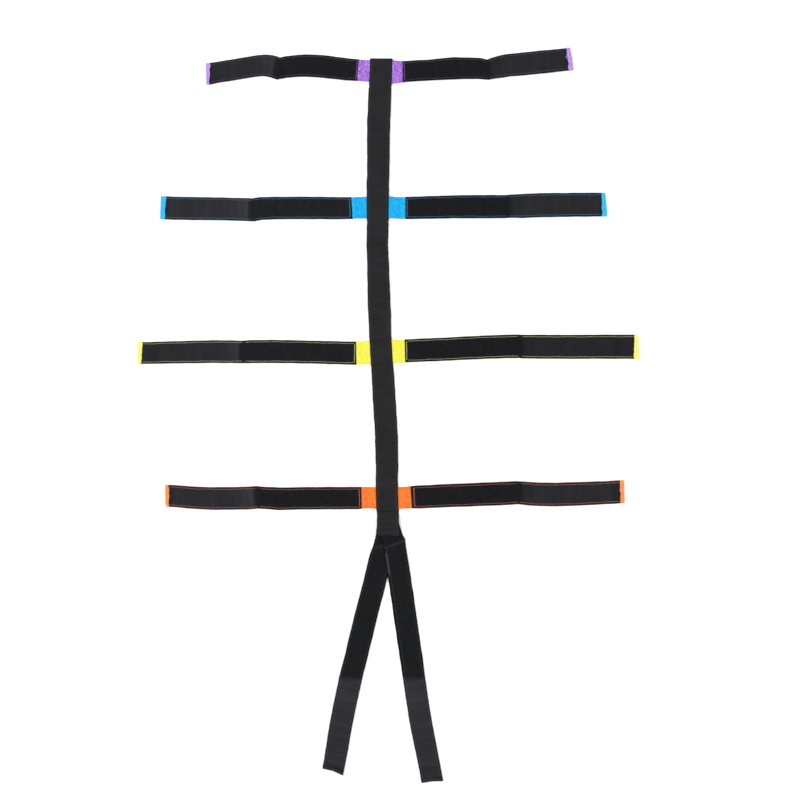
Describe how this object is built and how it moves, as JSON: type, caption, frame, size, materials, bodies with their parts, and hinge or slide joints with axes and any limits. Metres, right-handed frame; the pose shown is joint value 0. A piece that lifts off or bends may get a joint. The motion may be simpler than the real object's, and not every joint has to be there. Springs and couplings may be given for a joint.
{
  "type": "body restraint strap harness",
  "caption": "Flat webbing harness: a black spine strap, coloured cross straps with hook-and-loop halves, and two shoulder straps in a V.",
  "frame": {"origin": "underside of the spine strap where the chest strap crosses it", "axes": "+Z up, away from the surface the harness lies on; +Y along the spine towards the ankle strap; +X towards the right-hand arms as seen from above with +Y up"},
  "size_m": [1.1208, 1.6177, 0.0074],
  "materials": {
    "purple_webbing": "woven polypropylene, slightly shiny",
    "blue_webbing": "woven polypropylene, slightly shiny",
    "yellow_webbing": "woven polypropylene, slightly shiny",
    "orange_webbing": "woven polypropylene, slightly shiny",
    "black_webbing": "woven polypropylene, ribbed across",
    "hook_tape": "stiff hook tape with fine ribs",
    "loop_tape": "soft matt loop pile",
    "black_thread": "twisted sewing thread"
  },
  "bodies": {
    "spine_chest": {"spine_back_chest": "black_webbing", "spine_front_chest": "black_webbing", "spine_seams_chest": "black_thread", "chest_webbing_centre": "orange_webbing", "shoulder_left_root_webbing": "black_webbing", "shoulder_left_root_tape": "loop_tape", "shoulder_right_root_webbing": "black_webbing", "shoulder_right_root_tape": "loop_tape"},
    "spine_waist": {"spine_back_waist": "black_webbing", "spine_front_waist": "black_webbing", "spine_seams_waist": "black_thread", "waist_webbing_centre": "yellow_webbing"},
    "spine_thigh": {"spine_back_thigh": "black_webbing", "spine_front_thigh": "black_webbing", "spine_seams_thigh": "black_thread", "thigh_webbing_centre": "blue_webbing"},
    "spine_ankle": {"spine_back_ankle": "black_webbing", "spine_front_ankle": "black_webbing", "spine_seams_ankle": "black_thread", "ankle_webbing_centre": "purple_webbing"},
    "ankle_left_inner": {"ankle_left_inner_webbing": "purple_webbing", "ankle_left_loop_tape": "loop_tape"},
    "ankle_left_outer": {"ankle_left_outer_webbing": "purple_webbing", "ankle_left_hook_tape": "hook_tape"},
    "ankle_right_inner": {"ankle_right_inner_webbing": "purple_webbing", "ankle_right_loop_tape": "loop_tape"},
    "ankle_right_outer": {"ankle_right_outer_webbing": "purple_webbing", "ankle_right_hook_tape": "hook_tape"},
    "thigh_left_inner": {"thigh_left_inner_webbing": "blue_webbing", "thigh_left_loop_tape": "loop_tape"},
    "thigh_left_outer": {"thigh_left_outer_webbing": "blue_webbing", "thigh_left_hook_tape": "hook_tape"},
    "thigh_right_inner": {"thigh_right_inner_webbing": "blue_webbing", "thigh_right_loop_tape": "loop_tape"},
    "thigh_right_outer": {"thigh_right_outer_webbing": "blue_webbing", "thigh_right_hook_tape": "hook_tape"},
    "waist_left_inner": {"waist_left_inner_webbing": "yellow_webbing", "waist_left_loop_tape": "loop_tape"},
    "waist_left_outer": {"waist_left_outer_webbing": "yellow_webbing", "waist_left_hook_tape": "hook_tape"},
    "waist_right_inner": {"waist_right_inner_webbing": "yellow_webbing", "waist_right_loop_tape": "loop_tape"},
    "waist_right_outer": {"waist_right_outer_webbing": "yellow_webbing", "waist_right_hook_tape": "hook_tape"},
    "chest_left_inner": {"chest_left_inner_webbing": "orange_webbing", "chest_left_loop_tape": "loop_tape"},
    "chest_left_outer": {"chest_left_outer_webbing": "orange_webbing", "chest_left_hook_tape": "hook_tape"},
    "chest_right_inner": {"chest_right_inner_webbing": "orange_webbing", "chest_right_loop_tape": "loop_tape"},
    "chest_right_outer": {"chest_right_outer_webbing": "orange_webbing", "chest_right_hook_tape": "hook_tape"},
    "shoulder_left_inner": {"shoulder_left_inner_webbing": "black_webbing", "shoulder_left_loop_tape": "loop_tape"},
    "shoulder_left_outer": {"shoulder_left_outer_webbing": "black_webbing", "shoulder_left_hook_tape": "hook_tape"},
    "shoulder_right_inner": {"shoulder_right_inner_webbing": "black_webbing", "shoulder_right_loop_tape": "loop_tape"},
    "shoulder_right_outer": {"shoulder_right_outer_webbing": "black_webbing", "shoulder_right_hook_tape": "hook_tape"}
  },
  "joints": [
    {"name": "spine_fold_lower", "type": "hinge", "parent": "spine_chest", "child": "spine_waist", "pos_m": [-0.0031, 0.164, 0.013], "axis": [1, 0, 0], "range_deg": [0, 179.95]},
    {"name": "spine_fold_middle", "type": "hinge", "parent": "spine_waist", "child": "spine_thigh", "pos_m": [-0.0197, 0.485, -0.0005], "axis": [1, 0, 0], "range_deg": [-179.95, 0]},
    {"name": "spine_fold_upper", "type": "hinge", "parent": "spine_thigh", "child": "spine_ankle", "pos_m": [-0.0191, 0.797, 0.013], "axis": [1, 0, 0], "range_deg": [0, 179.95]},
    {"name": "ankle_left_crease", "type": "hinge", "parent": "spine_ankle", "child": "ankle_left_inner", "pos_m": [-0.04647, 0.94846, 0.00625], "axis": [0.0845, 0.9964, 0], "range_deg": [0, 179.95]},
    {"name": "ankle_left_tape_fold", "type": "hinge", "parent": "ankle_left_inner", "child": "ankle_left_outer", "pos_m": [-0.24496, 0.9653, 0.0038], "axis": [0.0138, 0.9999, 0], "range_deg": [0, 179.95]},
    {"name": "ankle_right_crease", "type": "hinge", "parent": "spine_ankle", "child": "ankle_right_inner", "pos_m": [0.0224, 0.94372, 0.00625], "axis": [-0.0024, 1, 0], "range_deg": [-179.95, 0]},
    {"name": "ankle_right_tape_fold", "type": "hinge", "parent": "ankle_right_inner", "child": "ankle_right_outer", "pos_m": [0.2233, 0.94421, 0.0038], "axis": [-0.0354, 0.9994, 0], "range_deg": [-179.95, 0]},
    {"name": "thigh_left_crease", "type": "hinge", "parent": "spine_thigh", "child": "thigh_left_inner", "pos_m": [-0.0541, 0.64403, 0.00625], "axis": [0.0143, 0.9999, 0], "range_deg": [0, 179.95]},
    {"name": "thigh_left_tape_fold", "type": "hinge", "parent": "thigh_left_inner", "child": "thigh_left_outer", "pos_m": [-0.30347, 0.6476, 0.0038], "axis": [0.0233, 0.9997, 0], "range_deg": [0, 179.95]},
    {"name": "thigh_right_crease", "type": "hinge", "parent": "spine_thigh", "child": "thigh_right_inner", "pos_m": [0.0126, 0.6431, 0.00625], "axis": [0.0106, 0.9999, 0], "range_deg": [-179.95, 0]},
    {"name": "thigh_right_tape_fold", "type": "hinge", "parent": "thigh_right_inner", "child": "thigh_right_outer", "pos_m": [0.26649, 0.6404, 0.0038], "axis": [0.0067, 1, 0], "range_deg": [-179.95, 0]},
    {"name": "waist_left_crease", "type": "hinge", "parent": "spine_waist", "child": "waist_left_inner", "pos_m": [-0.0467, 0.32213, 0.00625], "axis": [0.0143, 0.9999, 0], "range_deg": [0, 179.95]},
    {"name": "waist_left_tape_fold", "type": "hinge", "parent": "waist_left_inner", "child": "waist_left_outer", "pos_m": [-0.32577, 0.32612, 0.0038], "axis": [0.0027, 1, 0], "range_deg": [0, 179.95]},
    {"name": "waist_right_crease", "type": "hinge", "parent": "spine_waist", "child": "waist_right_inner", "pos_m": [0.0197, 0.32597, 0.00625], "axis": [-0.0304, 0.9995, 0], "range_deg": [-179.95, 0]},
    {"name": "waist_right_tape_fold", "type": "hinge", "parent": "waist_right_inner", "child": "waist_right_outer", "pos_m": [0.29357, 0.33429, 0.0038], "axis": [-0.0094, 1, 0], "range_deg": [-179.95, 0]},
    {"name": "chest_left_crease", "type": "hinge", "parent": "spine_chest", "child": "chest_left_inner", "pos_m": [-0.0346, -0.00021, 0.00625], "axis": [-0.0126, 0.9999, 0], "range_deg": [0, 179.95]},
    {"name": "chest_left_tape_fold", "type": "hinge", "parent": "chest_left_inner", "child": "chest_left_outer", "pos_m": [-0.29128, -0.00344, 0.0038], "axis": [0.0009, 1, 0], "range_deg": [0, 179.95]},
    {"name": "chest_right_crease", "type": "hinge", "parent": "spine_chest", "child": "chest_right_inner", "pos_m": [0.03269, 0.00136, 0.00625], "axis": [-0.0508, 0.9987, 0], "range_deg": [-179.95, 0]},
    {"name": "chest_right_tape_fold", "type": "hinge", "parent": "chest_right_inner", "child": "chest_right_outer", "pos_m": [0.29145, 0.01451, 0.0038], "axis": [-0.0386, 0.9993, 0], "range_deg": [-179.95, 0]},
    {"name": "shoulder_left_crease", "type": "hinge", "parent": "spine_chest", "child": "shoulder_left_inner", "pos_m": [-0.0287, -0.188, 0.0105], "axis": [1, 0, 0], "range_deg": [-179.95, 0]},
    {"name": "shoulder_left_tape_fold", "type": "hinge", "parent": "shoulder_left_inner", "child": "shoulder_left_outer", "pos_m": [-0.07969, -0.39924, 0.0038], "axis": [0.9767, -0.2148, 0], "range_deg": [-179.95, 0]},
    {"name": "shoulder_right_crease", "type": "hinge", "parent": "spine_chest", "child": "shoulder_right_inner", "pos_m": [0.02764, -0.164, 0.0122], "axis": [1, 0, 0], "range_deg": [-179.95, 0]},
    {"name": "shoulder_right_tape_fold", "type": "hinge", "parent": "shoulder_right_inner", "child": "shoulder_right_outer", "pos_m": [0.06004, -0.39462, 0.0055], "axis": [0.9874, 0.158, 0], "range_deg": [-179.95, 0]}
  ],
  "couplings": [
    {"joint": "spine_fold_middle", "follows": "spine_fold_lower", "ratio": -1},
    {"joint": "spine_fold_upper", "follows": "spine_fold_lower", "ratio": 1}
  ]
}
